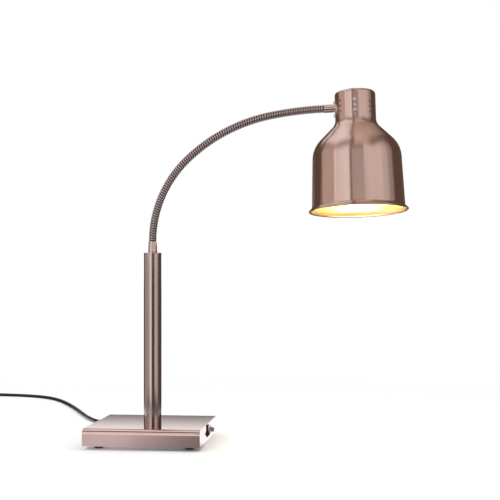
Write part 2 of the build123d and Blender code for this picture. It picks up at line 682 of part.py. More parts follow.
def plug_body():
    """A round earthed plug: ribbed neck, grip, and a wide front with two side recesses."""
    outline = Polyline((0, 0), (5.4, 0), (7.2, 16), (11.3, 20), (14.5, 40), (18.9, 46), (18.9, 60), (0, 60), (0, 0))
    body = revolve(Plane.XZ * make_face(outline), Axis.Z)
    body = fillet(body.edges().group_by(Axis.Z)[-1], 1.2)
    for row in range(3):
        body -= Pos(0, 0, 4.0 + 4.0 * row) * ring(12, 5.0 + 0.1 * row, 1.4)
    for side in (-1, 1):
        body -= Pos(0, side * 19.5, 52) * Box(8, 5, 20)
    return plug_place() * body


def plug_pins():
    """The plug's two round pins."""
    pin = fillet(rod(2.4, 19).edges().group_by(Axis.Z)[-1], 1.0)
    return plug_place() * Compound(children=[Pos(side * 9.5, 0, 60) * pin for side in (-1, 1)])


def build_nodes():
    """Every sub-part by its node name, in the column's frame."""
    cord, seen_length = cord_tube(CORD_ROUTE)
    tail, tail_length = cord_tube(TAIL_ROUTE)
    turns = (CORD_LENGTH - seen_length - tail_length) / (2 * pi * COIL_RADIUS)
    print(f"laid cord {seen_length:.0f}, tail {tail_length:.0f}, turns in the coil {turns:.2f}")
    nodes = {
        "base_cover": base_cover(),
        "side_panel_left": side_panel(-1),
        "side_panel_right": side_panel(1),
        "bottom_plate": bottom_plate(),
        "corner_blocks": corner_blocks(),
        "bottom_screws": bottom_screws(),
        "rubber_feet": rubber_feet(),
        "foot_screws": foot_screws(),
        "counterweight": counterweight(),
        "counterweight_bolts": counterweight_bolts(),
        "column_tube": column_tube(),
        "column_foot": column_foot(),
        "column_washer": column_washer(),
        "column_nut": column_nut(),
        "column_cap": column_cap(),
        "column_lead": column_lead(),
        "lower_ferrule": lower_ferrule(),
        "switch_housing": switch_housing(),
        "switch_rocker": rocker(),
        "switch_terminals": switch_terminals(),
        "breaker_body": breaker_body(),
        "breaker_collar": breaker_collar(),
        "reset_button": reset_button(),
        "terminal_block": terminal_block(),
        "earth_stud": earth_stud(),
        "base_wiring": base_wiring(),
        "strain_relief": strain_relief(),
        "power_cord": cord,
        "cord_coil": cord_coil(),
        "cord_tie": cord_tie(),
        "cord_tail": tail,
        "plug_body": plug_body(),
        "plug_pins": plug_pins(),
    }
    stations = neck_stations()
    for index, station in enumerate(stations[:-1]):
        nodes[f"neck_link_{index + 1:02d}"] = neck_link(station, stations[index + 1])
    head = {
        "upper_ferrule": upper_ferrule(),
        "ferrule_plate": ferrule_plate(),
        "ferrule_nut": ferrule_nut(),
        "ferrule_screws": ferrule_screws(),
        "shade_shell": shade_shell(),
        "lampholder_bracket": lampholder_bracket(),
        "bracket_screws": bracket_screws(),
        "bracket_rivets": bracket_rivets(),
        "bracket_nuts": bracket_nuts(),
        "lampholder": lampholder(),
        "lampholder_screws": lampholder_screws(),
        "lampholder_shell": lampholder_shell(),
        "lampholder_contact": lampholder_contact(),
        "head_lead": head_lead(),
        "bulb_glass": bulb_glass(),
        "bulb_cap": bulb_cap(),
        "bulb_insulator": bulb_insulator(),
        "bulb_contact": bulb_contact(),
    }
    for name, shape in head.items():
        nodes[name] = head_place() * shape
    return nodes


CORD_NODES = ("strain_relief", "power_cord", "cord_coil", "cord_tie", "cord_tail", "plug_body", "plug_pins")


def footprint_middle(nodes):
    """The middle, in x and y, of the box round the lamp without its cord."""
    boxes = [shape.bounding_box() for name, shape in nodes.items() if name not in CORD_NODES]
    low_x = min(box.min.X for box in boxes)
    high_x = max(box.max.X for box in boxes)
    low_y = min(box.min.Y for box in boxes)
    high_y = max(box.max.Y for box in boxes)
    return (low_x + high_x) / 2, (low_y + high_y) / 2


NODES = build_nodes()
MIDDLE = footprint_middle(NODES)
print(f"the column stands at x {-MIDDLE[0]:.2f}, y {-MIDDLE[1]:.2f}")
os.makedirs("parts", exist_ok=True)
for node, shape in NODES.items():
    export_step(Pos(-MIDDLE[0], -MIDDLE[1], 0) * shape, f"parts/{node}.step")
print(len(NODES), "nodes written")
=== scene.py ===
import json
from math import cos, degrees, pi, radians, sin, tan

import bpy
from mathutils import Matrix, Vector


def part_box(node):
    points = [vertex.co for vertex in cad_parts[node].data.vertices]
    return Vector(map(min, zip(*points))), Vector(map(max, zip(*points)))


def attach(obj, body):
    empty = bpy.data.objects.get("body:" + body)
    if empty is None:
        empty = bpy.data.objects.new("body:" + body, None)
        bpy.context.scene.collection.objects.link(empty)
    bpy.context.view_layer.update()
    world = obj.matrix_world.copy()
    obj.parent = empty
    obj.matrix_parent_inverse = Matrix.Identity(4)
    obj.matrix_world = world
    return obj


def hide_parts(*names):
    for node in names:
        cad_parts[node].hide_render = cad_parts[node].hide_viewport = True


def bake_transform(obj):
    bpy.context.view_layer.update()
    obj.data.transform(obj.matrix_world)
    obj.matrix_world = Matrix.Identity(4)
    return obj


# Table-top heat lamp: brushed copper plate over folded, drawn, wound and spun metal.
# Metres for the frame, the room and the gooseneck's line. Millimetres for the cord's route, the wire's
# profile, the shade and the bulb, which MM turns into metres.

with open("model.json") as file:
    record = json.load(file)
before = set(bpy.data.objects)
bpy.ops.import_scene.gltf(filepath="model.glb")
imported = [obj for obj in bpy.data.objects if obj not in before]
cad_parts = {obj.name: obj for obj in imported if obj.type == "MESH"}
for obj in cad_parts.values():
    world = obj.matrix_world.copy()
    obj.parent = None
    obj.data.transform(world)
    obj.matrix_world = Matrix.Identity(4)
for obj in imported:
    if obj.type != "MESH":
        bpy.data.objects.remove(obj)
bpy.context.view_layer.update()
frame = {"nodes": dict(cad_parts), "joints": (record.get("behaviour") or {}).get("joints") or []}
scene = bpy.context.scene
MM = 0.001
TINY = 1e-6


# ---------------------------------------------------------------- places taken from the frame

def middle(node):
    low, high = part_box(node)
    return (low + high) / 2


JOINTS = {joint["name"]: joint for joint in frame["joints"]}
COLUMN = middle("column_tube")

# Gooseneck: tangent arcs of (radius, angle, links), from straight up over to nearly level
NECK_ARCS = ((0.203, 47.0, 4), (0.300, 32.5, 4), (0.626, 8.75, 2))
LINK_COUNT = sum(links for _, _, links in NECK_ARCS)
NECK_HEADING = 90.0 - sum(angle for _, angle, _ in NECK_ARCS)
HEAD_TWIST = -2.7
SHADE_X = 56 * MM
HEAD = (
    Matrix.Translation(JOINTS["neck_bend_6"]["pos_m"])
    @ Matrix.Rotation(radians(-NECK_HEADING), 4, "Y")
    @ Matrix.Rotation(radians(HEAD_TWIST), 4, "X")
)
SHADE = HEAD @ Matrix.Translation((SHADE_X, 0, 0))
ROOM = Matrix.Identity(4)


# ---------------------------------------------------------------- camera

# Across and away from the column, and above the table
CAMERA_ACROSS, CAMERA_AWAY, CAMERA_HEIGHT = 0.3522, -1.6968, 0.2719
CAMERA_TURN_LEFT = 5.877
CAMERA_LENS = 68.4
CAMERA_SHIFT_UP = 0.0836


def make_camera():
    """A level camera lower than the column's top, turned slightly to the left."""
    data = bpy.data.cameras.new("camera")
    data.lens = CAMERA_LENS
    data.sensor_width = 36
    data.shift_y = CAMERA_SHIFT_UP
    camera = bpy.data.objects.new("camera", data)
    camera.location = (COLUMN.x + CAMERA_ACROSS, CAMERA_AWAY, CAMERA_HEIGHT)
    camera.rotation_euler = (radians(90), 0, radians(CAMERA_TURN_LEFT))
    scene.collection.objects.link(camera)
    scene.camera = camera


make_camera()


# ---------------------------------------------------------------- mains cord: route and curve

CORD_RADIUS = 3.75 * MM
# The route's height along the table, and its points, with the column's axis at x = y = 0
ON_TABLE = 3.8
CORD_ROUTE = (
    (-80.0, 132.5, 17.0),
    (-80.0, 160.0, 17.0),
    (-94.0, 184.0, 9.5),
    (-122.0, 202.0, 4.2),
    (-160.0, 221.0, ON_TABLE),
    (-188.0, 263.0, ON_TABLE),
    (-219.0, 324.0, ON_TABLE),
    (-262.0, 419.0, ON_TABLE),
    (-306.0, 506.0, ON_TABLE),
    (-350.0, 584.0, ON_TABLE),
    (-396.0, 643.0, ON_TABLE),
    (-456.0, 681.0, ON_TABLE),
    (-532.0, 698.0, ON_TABLE),
)
COIL_CENTRE = (-618.0, 655.0)
TAIL_ROUTE = (
    (-662.0, 625.0, 10.2),
    (-667.0, 590.0, 6.6),
    (-678.0, 556.0, 5.7),
)
# The coil's turns, by how far round they have gone in degrees: where they start and end, and where
# they move in, climb on top and move out again
COIL_START = 90
COIL_MOVES_IN = (390, 450)
COIL_CLIMBS = (690, 750)
COIL_MOVES_OUT = (990, 1050)
COIL_END = 1260
COIL_POINTS_PER_TURN = 18
COIL_OUTER = 45.0
COIL_INNER = 37.5
COIL_LOW = 4.75
COIL_HIGH = 12.25


def from_column(x, y, z):
    """A point given in millimetres from the column's foot, in the frame."""
    return Vector((COLUMN.x + x * MM, COLUMN.y + y * MM, z * MM))


def ease(value, start, end):
    """0 before start, 1 after end, and smooth between."""
    share = min(max((value - start) / (end - start), 0.0), 1.0)
    return share * share * (3 - 2 * share)


def coil_points():
    """The turns: outer then inner on the table, then inner and outer on top of them."""
    step = 360 / COIL_POINTS_PER_TURN
    outside = 1 / cos(radians(step / 2))
    points = []
    angle = COIL_START
    while angle <= COIL_END:
        inward = ease(angle, *COIL_MOVES_IN) - ease(angle, *COIL_MOVES_OUT)
        radius = (COIL_OUTER + (COIL_INNER - COIL_OUTER) * inward) * outside
        height = COIL_LOW + (COIL_HIGH - COIL_LOW) * ease(angle, *COIL_CLIMBS)
        x = COIL_CENTRE[0] + radius * cos(radians(angle))
        y = COIL_CENTRE[1] + radius * sin(radians(angle))
        points.append((x, y, height))
        angle += step
    return points


def nurbs_curve(name, points, radius):
    """A round cord of one open, smooth spline, with the points as its control points."""
    curve = bpy.data.curves.new(name, "CURVE")
    curve.dimensions = "3D"
    curve.bevel_depth = radius
    curve.bevel_resolution = 6
    curve.resolution_u = 8
    curve.use_fill_caps = True
    spline = curve.splines.new("NURBS")
    spline.points.add(len(points) - 1)
    for point, place in zip(spline.points, points):
        point.co = (*place, 1)
    spline.order_u = 3
    spline.use_endpoint_u = True
    cord = bpy.data.objects.new(name, curve)
    scene.collection.objects.link(cord)
    return cord


cord_places = [from_column(*point) for point in (*CORD_ROUTE, *coil_points(), *TAIL_ROUTE)]
mains_cord = nurbs_curve("mains_cord", cord_places, CORD_RADIUS)


# ---------------------------------------------------------------- floor, room and lights

def staged(obj):
    return obj


def plane(name, width, height, place):
    """A flat rectangle about its own middle, facing its own +Z."""
    x, y = width / 2, height / 2
    mesh = bpy.data.meshes.new(name)
    mesh.from_pydata([(-x, -y, 0), (x, -y, 0), (x, y, 0), (-x, y, 0)], [], [(0, 1, 2, 3)])
    obj = bpy.data.objects.new(name, mesh)
    obj.matrix_world = place
    scene.collection.objects.link(obj)
    return obj


def facing(location, target):
    """A place at location whose -Z looks at target."""
    look = Vector(target) - Vector(location)
    return Matrix.Translation(location) @ look.to_track_quat("-Z", "Y").to_matrix().to_4x4()


def softbox(name, location, target, size, radiance, colour=(1.0, 1.0, 1.0)):
    """A flat light of the given width and height, evenly bright."""
    data = bpy.data.lights.new(name, "AREA")
    data.shape = "RECTANGLE"
    data.size, data.size_y = size
    data.energy = radiance * pi * size[0] * size[1]
    data.color = colour
    light = bpy.data.objects.new(name, data)
    light.matrix_world = facing(location, target)
    light.visible_camera = False
    scene.collection.objects.link(light)
    return light


class Nodes:
    """A short way to build a node tree. Inputs are values, or outputs of other nodes to link to."""

    def __init__(self, tree):
        self.tree = tree
        tree.nodes.clear()

    def add(self, kind, inputs=(), **settings):
        node = self.tree.nodes.new(kind)
        for key, value in settings.items():
            setattr(node, key, value)
        for key, value in dict(inputs).items():
            if isinstance(value, bpy.types.NodeSocket):
                self.tree.links.new(value, node.inputs[key])
            else:
                node.inputs[key].default_value = value
        return node

    def ramp(self, factor, stops, **settings):
        """A colour ramp with (position, colour) stops."""
        node = self.add("ShaderNodeValToRGB", {"Fac": factor}, **settings)
        ramp = node.color_ramp
        while len(ramp.elements) < len(stops):
            ramp.elements.new(0.5)
        for element, (position, colour) in zip(ramp.elements, stops):
            element.position = position
            element.color = (*colour, 1)
        return node.outputs["Color"]

    def between(self, value, low, high, to_low=0.0, to_high=1.0):
        """A smooth step: to_low where the value is under low, to_high where it is over high."""
        node = self.add(
            "ShaderNodeMapRange",
            {"Value": value, "From Min": low, "From Max": high, "To Min": to_low, "To Max": to_high},
            interpolation_type="SMOOTHSTEP",
        )
        return node.outputs["Result"]


def new_material(name):
    """A material and the node tree to build it with."""
    material = bpy.data.materials.new(name)
    material.use_nodes = True
    return material, Nodes(material.node_tree)


WHITE = (1, 1, 1, 1)
DIM_ROOM = (0.13, 0.085, 0.07, 1)
FILL = 0.88
FLOOR_SIZE = 40
FLOOR_PAINT = (0.90, 0.90, 0.90, 1)
# How far out the table starts to fade, and where it has faded to white
FLOOR_FADE = (0.7, 1.4)
POOL_SIZE = 1.2
POOL_LIFT = 0.0003
POOL_TINT = (1.0, 0.99, 1.02, 1)
BACKDROP_SIZE = (1.6, 0.34)
BACKDROP_PLACE = (COLUMN.x - 0.4, 1.9, 0.33)
# Steps of (from, to, value before, value after). In the pool, from the column: brightness from left to
# right in front, and behind; how far "behind" counts, from front to back; and the fade outwards. In the
# backdrop: brightness by height.
POOL_IN_FRONT = (-0.11, 0.11, 0.82, 0.28)
POOL_BEHIND = (0.13, 0.18, 1.35, 0.55)
POOL_TO_THE_BACK = (-0.09, 0.02, 0.0, 1.0)
POOL_FADE = (0.34, 0.58, 1.0, 0.1)
BACKDROP_GLOW = (0.268, 0.345, 0.10, 1.30)


def make_room():
    """A dim warm room for what metal reflects, a bright one to light the rest, and plain white to see."""
    world = bpy.data.worlds.new("room")
    world.use_nodes = True
    scene.world = world
    n = Nodes(world.node_tree)
    path = n.add("ShaderNodeLightPath")
    dim = n.add("ShaderNodeBackground", {"Color": DIM_ROOM, "Strength": 1.0})
    fill = n.add("ShaderNodeBackground", {"Color": WHITE, "Strength": FILL})
    white = n.add("ShaderNodeBackground", {"Color": WHITE, "Strength": 1.0})
    lights, shows = path.outputs["Is Diffuse Ray"], path.outputs["Is Camera Ray"]
    lit = n.add("ShaderNodeMixShader", {0: lights, 1: dim.outputs[0], 2: fill.outputs[0]})
    seen = n.add("ShaderNodeMixShader", {0: shows, 1: lit.outputs[0], 2: white.outputs[0]})
    n.add("ShaderNodeOutputWorld", {"Surface": seen.outputs[0]})


def make_floor():
    """A pale table top that fades into the white room."""
    floor = staged(plane("floor", FLOOR_SIZE, FLOOR_SIZE, ROOM))
    floor.visible_glossy = False
    material, n = new_material("floor")
    place = n.add("ShaderNodeNewGeometry").outputs["Position"]
    far = n.add("ShaderNodeVectorMath", {0: place}, operation="LENGTH").outputs["Value"]
    paint = n.add("ShaderNodeBsdfDiffuse", {"Color": FLOOR_PAINT})
    white = n.add("ShaderNodeEmission", {"Color": WHITE, "Strength": 1.0})
    fade = n.between(far, *FLOOR_FADE)
    seen = n.add("ShaderNodeMixShader", {0: fade, 1: paint.outputs[0], 2: white.outputs[0]})
    n.add("ShaderNodeOutputMaterial", {"Surface": seen.outputs[0]})
    floor.data.materials.append(material)


def glow_only(obj):
    """Seen in metal, and by nothing else."""
    obj.visible_camera = False
    obj.visible_diffuse = False
    obj.visible_shadow = False
    return staged(obj)


def make_pool():
    """The floor round the lamp as metal sees it: brighter behind than in front, and dark far out."""
    pool = glow_only(plane("pool", POOL_SIZE, POOL_SIZE, Matrix.Translation((COLUMN.x, 0, POOL_LIFT))))
    material, n = new_material("pool")
    here = n.add("ShaderNodeTexCoord").outputs["Object"]
    axes = n.add("ShaderNodeSeparateXYZ", {"Vector": here})
    far = n.add("ShaderNodeVectorMath", {0: here}, operation="LENGTH").outputs["Value"]
    front = n.between(axes.outputs["X"], *POOL_IN_FRONT)
    share = n.between(axes.outputs["Y"], *POOL_TO_THE_BACK)
    behind = n.between(axes.outputs["X"], *POOL_BEHIND)
    bright = n.add("ShaderNodeMix", {"Factor": share, "A": front, "B": behind}).outputs[0]
    fade = n.between(far, *POOL_FADE)
    strength = n.add("ShaderNodeMath", {0: bright, 1: fade}, operation="MULTIPLY")
    glow = n.add("ShaderNodeEmission", {"Color": POOL_TINT, "Strength": strength.outputs[0]})
    n.add("ShaderNodeOutputMaterial", {"Surface": glow.outputs[0]})
    pool.data.materials.append(material)


def make_backdrop():
    """A low strip behind the lamp, brighter upwards, that the base's top reflects."""
    x, _, z = BACKDROP_PLACE
    sheet = glow_only(plane("backdrop", *BACKDROP_SIZE, facing(BACKDROP_PLACE, (x, 0, z))))
    material, n = new_material("backdrop")
    place = n.add("ShaderNodeNewGeometry").outputs["Position"]
    height = n.add("ShaderNodeSeparateXYZ", {"Vector": place}).outputs["Z"]
    brightness = n.between(height, *BACKDROP_GLOW)
    glow = n.add("ShaderNodeEmission", {"Color": WHITE, "Strength": brightness})
    n.add("ShaderNodeOutputMaterial", {"Surface": glow.outputs[0]})
    sheet.data.materials.append(material)


# Light panels that only metal sees: (wall, across from, across to, up from, up to, radiance, colour).
# Across is X from the column on the front wall and the ceiling, and Y on the side walls. Up is Z on
# the walls and Y on the ceiling.
WALL_IN_FRONT = -1.35
WALL_BESIDE = 1.7
CEILING = 1.9
PLAIN = (1.0, 1.0, 1.0)
GREY = (0.90, 1.0, 0.99)
WARM = (1.0, 0.95, 0.93)
TAN = (1.0, 0.84, 0.74)
PANELS = (
    ("front", -2.0, -0.12, 0.45, 1.35, 0.92, PLAIN),
    ("front", -2.0, -0.12, 1.35, 1.85, 0.62, PLAIN),
    ("front", -0.12, 0.77, 1.35, 1.85, 0.30, WARM),
    ("front", 0.02, 1.7, 0.45, 0.955, 0.72, WARM),
    ("front", 0.77, 1.7, 0.955, 1.8, 0.72, WARM),
    ("front", -1.4, -0.62, -0.3, 0.45, 0.60, PLAIN),
    ("front", -0.62, -0.04, -0.3, 0.45, 1.00, PLAIN),
    ("front", 1.0, 1.7, -0.3, 0.45, 0.68, PLAIN),
    ("left", -1.35, 0.5, 0.45, 1.8, 0.50, TAN),
    ("left", -1.35, 0.5, -0.3, 0.45, 0.38, GREY),
    ("right", -1.35, -0.62, 0.45, 1.8, 0.70, WARM),
    ("right", -0.62, -0.2, 0.45, 1.8, 0.55, WARM),
    ("right", -0.2, 0.2, 0.45, 1.8, 0.30, WARM),
    ("right", -1.35, -0.75, -0.3, 0.45, 0.62, GREY),
    ("right", -0.75, -0.1, -0.3, 0.45, 0.38, GREY),
    ("ceiling", -1.2, 0.1, -0.6, 1.9, 0.95, PLAIN),
    ("ceiling", 0.2, 0.6, -1.35, 1.9, 0.60, TAN),
    ("ceiling", 0.6, 0.85, -1.35, 1.9, 0.50, TAN),
    ("ceiling", 0.85, 1.15, -1.35, 1.9, 0.36, TAN),
)


def make_panels():
    """The panels on three walls and a ceiling round the lamp, with the dim room between them."""
    for number, (wall, across_low, across_high, up_low, up_high, radiance, colour) in enumerate(PANELS):
        across = (across_low + across_high) / 2
        up = (up_low + up_high) / 2
        location, inward = {
            "front": ((COLUMN.x + across, WALL_IN_FRONT, up), (0, 1, 0)),
            "left": ((COLUMN.x - WALL_BESIDE, across, up), (1, 0, 0)),
            "right": ((COLUMN.x + WALL_BESIDE, across, up), (-1, 0, 0)),
            "ceiling": ((COLUMN.x + across, up, CEILING), (0, 0, -1)),
        }[wall]
        target = Vector(location) + Vector(inward)
        size = (across_high - across_low, up_high - up_low)
        panel = softbox(f"panel_{number + 1:02d}", location, target, size, radiance, colour)
        panel.visible_diffuse = False


def make_soft_light():
    """A broad light above and a smaller one at the front left. Neither shows in metal."""
    overhead = softbox("overhead", (0, 0, 2.2), (0, 0, 0), size=(3.0, 3.0), radiance=0.62)
    key = softbox("key", (-1.5, -1.1, 1.9), (0, 0, 0.1), size=(0.7, 0.7), radiance=3.2)
    for light in (overhead, key):
        light.visible_glossy = False


make_room()
make_floor()
make_pool()
make_backdrop()
make_panels()
make_soft_light()
scene.view_settings.view_transform = "Standard"


# ---------------------------------------------------------------- materials

PATCHES_PER_METRE = 9.0
COAT_ROUGHNESS = 0.08
# Turns the stretched reflections of a turned finish from round the axis to along it
QUARTER_TURN = 0.25


def surface(name, colour, second, metallic, roughness, spread=0.06, grain=(1, 1, 1), grain_scale=60.0,
            bump=0.15, depth=0.05, place=ROOM, coat=0.0, groove_shade_colour=None, sheen=0.0, turned_finish=0.0):
    """A procedural surface: two tones in soft patches under a fine grain.

    spread is how far the roughness varies with the grain, and depth is the grain's height in mm.
    grain stretches the fine noise along the axes of place. The colour for grooves is painted shade: it goes
    where the mesh's painted-shade attribute is 1. turned_finish is how far reflections stretch, as on metal
    turned about Z.
    """
    material, n = new_material(name)
    local = place.inverted().to_euler()
    here = n.add("ShaderNodeTexCoord").outputs["Object"]
    turned = n.add("ShaderNodeMapping", {"Vector": here, "Rotation": local}).outputs["Vector"]
    stretched = n.add("ShaderNodeMapping", {"Vector": turned, "Scale": grain}).outputs["Vector"]
    broad_look = {"Vector": turned, "Scale": PATCHES_PER_METRE, "Detail": 3.0, "Roughness": 0.5}
    broad = n.add("ShaderNodeTexNoise", broad_look).outputs["Fac"]
    fine_look = {"Vector": stretched, "Scale": grain_scale, "Detail": 4.0, "Roughness": 0.6}
    fine = n.add("ShaderNodeTexNoise", fine_look).outputs["Fac"]
    tone = n.ramp(n.between(broad, 0.35, 0.65), [(0.0, colour), (1.0, second)])
    # Painted shade: the dark colour is mixed in where the mesh's attribute says a place lies deep
    if groove_shade_colour is not None:
        groove_shade = n.add("ShaderNodeAttribute", attribute_name="groove_shade").outputs["Fac"]
        mix = n.add("ShaderNodeMix", {"Factor": groove_shade, "A": tone, "B": (*groove_shade_colour, 1)}, data_type="RGBA")
        tone = mix.outputs["Result"]
    rough = n.between(fine, 0.3, 0.7, max(roughness - spread, 0.02), roughness + spread)
    relief = n.add("ShaderNodeBump", {"Height": fine, "Strength": bump, "Distance": depth * MM})
    shader = n.add(
        "ShaderNodeBsdfPrincipled",
        {
            "Base Color": tone,
            "Metallic": metallic,
            "Roughness": rough,
            "Normal": relief.outputs["Normal"],
            "Coat Weight": coat,
            "Coat Roughness": COAT_ROUGHNESS,
            "Sheen Weight": sheen,
        },
    )
    if turned_finish:
        round_axis = n.add("ShaderNodeTangent", direction_type="RADIAL", axis="Z")
        n.tree.links.new(round_axis.outputs[0], shader.inputs["Tangent"])
        shader.inputs["Anisotropic"].default_value = turned_finish
        shader.inputs["Anisotropic Rotation"].default_value = QUARTER_TURN
    n.add("ShaderNodeOutputMaterial", {"Surface": shader.outputs[0]})
    return material


COPPER = (0.71, 0.525, 0.46)
COPPER_PALE = (0.74, 0.56, 0.495)
# Grain in rings round Z: fine up and down it, and long the other ways
AROUND_Z = (1.0, 1.0, 60.0)

# Copper plate, by how the metal under it was shaped
spun_copper = surface(
    "spun_copper", COPPER, COPPER_PALE, metallic=1.0, roughness=0.24, spread=0.015, grain=AROUND_Z,
    grain_scale=40.0, bump=0.02, depth=0.01, place=SHADE, turned_finish=0.96,
)
# The shade's inner wall: brighter and yellower than the copper outside, partly its own reflector colour and
# partly the bulb's warm glow painted in
reflector_with_painted_glow = surface(
    "reflector_with_painted_glow", (1.0, 0.80, 0.34), (1.0, 0.82, 0.38), metallic=0.60, roughness=0.30, spread=0.04,
    grain=AROUND_Z, grain_scale=40.0, bump=0.12, depth=0.02, place=SHADE,
)
sheet_copper = surface(
    "sheet_copper", (0.64, 0.46, 0.43), (0.68, 0.50, 0.47), metallic=1.0, roughness=0.08, spread=0.02,
    grain=(60.0, 1.0, 1.0), grain_scale=40.0, bump=0.06, depth=0.01,
)
tube_copper = surface(
    "tube_copper", (0.56, 0.445, 0.42), (0.60, 0.48, 0.455), metallic=1.0, roughness=0.15, spread=0.03,
    grain=AROUND_Z, grain_scale=40.0, bump=0.05, depth=0.02,
)
# The wound wire, with painted shade in the grooves between its turns
wound_copper = surface(
    "wound_copper", (0.56, 0.48, 0.48), (0.62, 0.54, 0.54), metallic=1.0, roughness=0.13, spread=0.03,
    grain_scale=400.0, bump=0.2, depth=0.02, groove_shade_colour=(0.025, 0.014, 0.012),
)
turned_copper = surface(
    "turned_copper", (0.54, 0.45, 0.43), (0.60, 0.51, 0.49), metallic=1.0, roughness=0.12, spread=0.05,
    grain=AROUND_Z, bump=0.2, depth=0.02,
)
pale_copper = surface(
    "pale_copper", (0.76, 0.71, 0.70), (0.80, 0.75, 0.74), metallic=1.0, roughness=0.10, spread=0.03,
    bump=0.1, depth=0.01,
)

# Bare and plated metals
zinc = surface(
    "zinc", (0.55, 0.56, 0.57), (0.65, 0.65, 0.66), metallic=1.0, roughness=0.32, spread=0.08,
    grain_scale=90.0, bump=0.2, depth=0.03,
)
mill_steel = surface(
    "mill_steel", (0.12, 0.12, 0.13), (0.20, 0.19, 0.18), metallic=0.9, roughness=0.5, spread=0.1,
    grain_scale=120.0, bump=0.4, depth=0.08,
)
nickel = surface(
    "nickel", (0.86, 0.84, 0.82), (0.90, 0.88, 0.86), metallic=1.0, roughness=0.26, spread=0.05,
    grain_scale=500.0, bump=0.1, depth=0.01,
)
bright_nickel = surface(
    "bright_nickel", (0.92, 0.91, 0.90), (0.95, 0.94, 0.93), metallic=1.0, roughness=0.34, spread=0.05,
    grain_scale=500.0, bump=0.1, depth=0.01,
)
brass = surface(
    "brass", (0.72, 0.50, 0.20), (0.80, 0.60, 0.28), metallic=1.0, roughness=0.25, spread=0.07,
    grain_scale=200.0, bump=0.2, depth=0.02,
)

# Rubber, plastic, porcelain and cloth
foot_rubber = surface(
    "foot_rubber", (0.012, 0.012, 0.012), (0.022, 0.021, 0.02), metallic=0.0, roughness=0.62, spread=0.1,
    grain_scale=900.0, bump=0.5,
)
cord_rubber = surface(
    "cord_rubber", (0.010, 0.010, 0.014), (0.018, 0.018, 0.024), metallic=0.0, roughness=0.38, spread=0.08,
    grain_scale=700.0, bump=0.25, depth=0.04,
)
wire_silicone = surface(
    "wire_silicone", (0.30, 0.12, 0.05), (0.38, 0.17, 0.08), metallic=0.0, roughness=0.45, spread=0.08,
)
black_plastic = surface(
    "black_plastic", (0.010, 0.010, 0.011), (0.016, 0.016, 0.017), metallic=0.0, roughness=0.22,
    spread=0.05, grain_scale=1200.0, bump=0.2, depth=0.02,
)
grey_plastic = surface(
    "grey_plastic", (0.16, 0.16, 0.17), (0.20, 0.20, 0.21), metallic=0.0, roughness=0.42, grain_scale=900.0,
    bump=0.4, depth=0.03,
)
cream_plastic = surface(
    "cream_plastic", (0.70, 0.67, 0.60), (0.76, 0.74, 0.68), metallic=0.0, roughness=0.4,
)
porcelain = surface(
    "porcelain", (0.80, 0.78, 0.72), (0.86, 0.84, 0.80), metallic=0.0, roughness=0.12, spread=0.04,
    grain_scale=80.0, bump=0.1, depth=0.03, coat=0.5,
)
woven_strap = surface(
    "woven_strap", (0.012, 0.012, 0.012), (0.03, 0.03, 0.03), metallic=0.0, roughness=0.85, spread=0.08,
    grain_scale=1500.0, bump=0.9, depth=0.2, sheen=0.4,
)


GLOW_STRENGTH = 14.0


def glowing_glass():
    """Frosted glass that glows white-hot on its face and amber up its sides, silvered above.

    The mesh's attribute "warmth" says how much a place glows.
    """
    material, n = new_material("glowing_glass")
    warmth = n.add("ShaderNodeAttribute", attribute_name="warmth").outputs["Fac"]
    here = n.add("ShaderNodeTexCoord").outputs["Object"]
    frost = n.add("ShaderNodeTexNoise", {"Vector": here, "Scale": 900.0, "Detail": 3.0})
    colour = n.ramp(warmth, [(0.0, (1.0, 0.36, 0.05)), (0.35, (1.0, 0.66, 0.24)), (1.0, (1.0, 0.86, 0.60))])
    strength = n.add("ShaderNodeMath", {0: warmth, 1: GLOW_STRENGTH}, operation="MULTIPLY")
    relief = n.add("ShaderNodeBump", {"Height": frost.outputs["Fac"], "Strength": 0.3, "Distance": 0.05 * MM})
    silvering = n.between(warmth, 0.0, 0.12, to_low=1.0, to_high=0.0)
    shader = n.add(
        "ShaderNodeBsdfPrincipled",
        {
            "Base Color": (0.90, 0.87, 0.80, 1),
            "Metallic": silvering,
            "Roughness": 0.22,
            "Normal": relief.outputs["Normal"],
            "Emission Color": colour,
            "Emission Strength": strength.outputs[0],
        },
    )
    n.add("ShaderNodeOutputMaterial", {"Surface": shader.outputs[0]})
    return material


lit_glass = glowing_glass()


# ---------------------------------------------------------------- mesh helpers

def make_mesh(name, vertices, faces, material, sharp):
    """A smooth-shaded mesh piece with creases sharper than the given angle."""
    mesh = bpy.data.meshes.new(name)
    mesh.from_pydata([tuple(v) for v in vertices], [], faces)
    mesh.validate()
    mesh.polygons.foreach_set("use_smooth", [True] * len(mesh.polygons))
    mesh.set_sharp_from_angle(angle=radians(sharp))
    mesh.materials.append(material)
    piece = bpy.data.objects.new(name, mesh)
    scene.collection.objects.link(piece)
    return piece


def even_shading(piece):
    """Shading led by the large faces, so that flats stay flat beside small rounds."""
    modifier = piece.modifiers.new("even_shading", "WEIGHTED_NORMAL")
    modifier.keep_sharp = True
    return piece


def rounded(corners, bends, step):
    """An open outline as points: an arc of its own radius at each corner, a point each step degrees."""
    points = [Vector(corners[0])]
    for before, corner, after, bend in zip(corners, corners[1:], corners[2:], bends):
        corner = Vector(corner)
        back = (Vector(before) - corner).normalized()
        ahead = (Vector(after) - corner).normalized()
        half = back.angle(ahead) / 2
        inward = (back + ahead).normalized()
        centre = corner + inward * bend / sin(half)
        start = corner + back * bend / tan(half) - centre
        sweep = pi - 2 * half
        turn = 1 if start.x * ahead.y - start.y * ahead.x > 0 else -1
        count = max(2, round(degrees(sweep) / step))
        for k in range(count + 1):
            angle = turn * sweep * k / count
            arm = (start.x * cos(angle) - start.y * sin(angle), start.x * sin(angle) + start.y * cos(angle))
            points.append(centre + Vector(arm))
    points.append(Vector(corners[-1]))
    return points


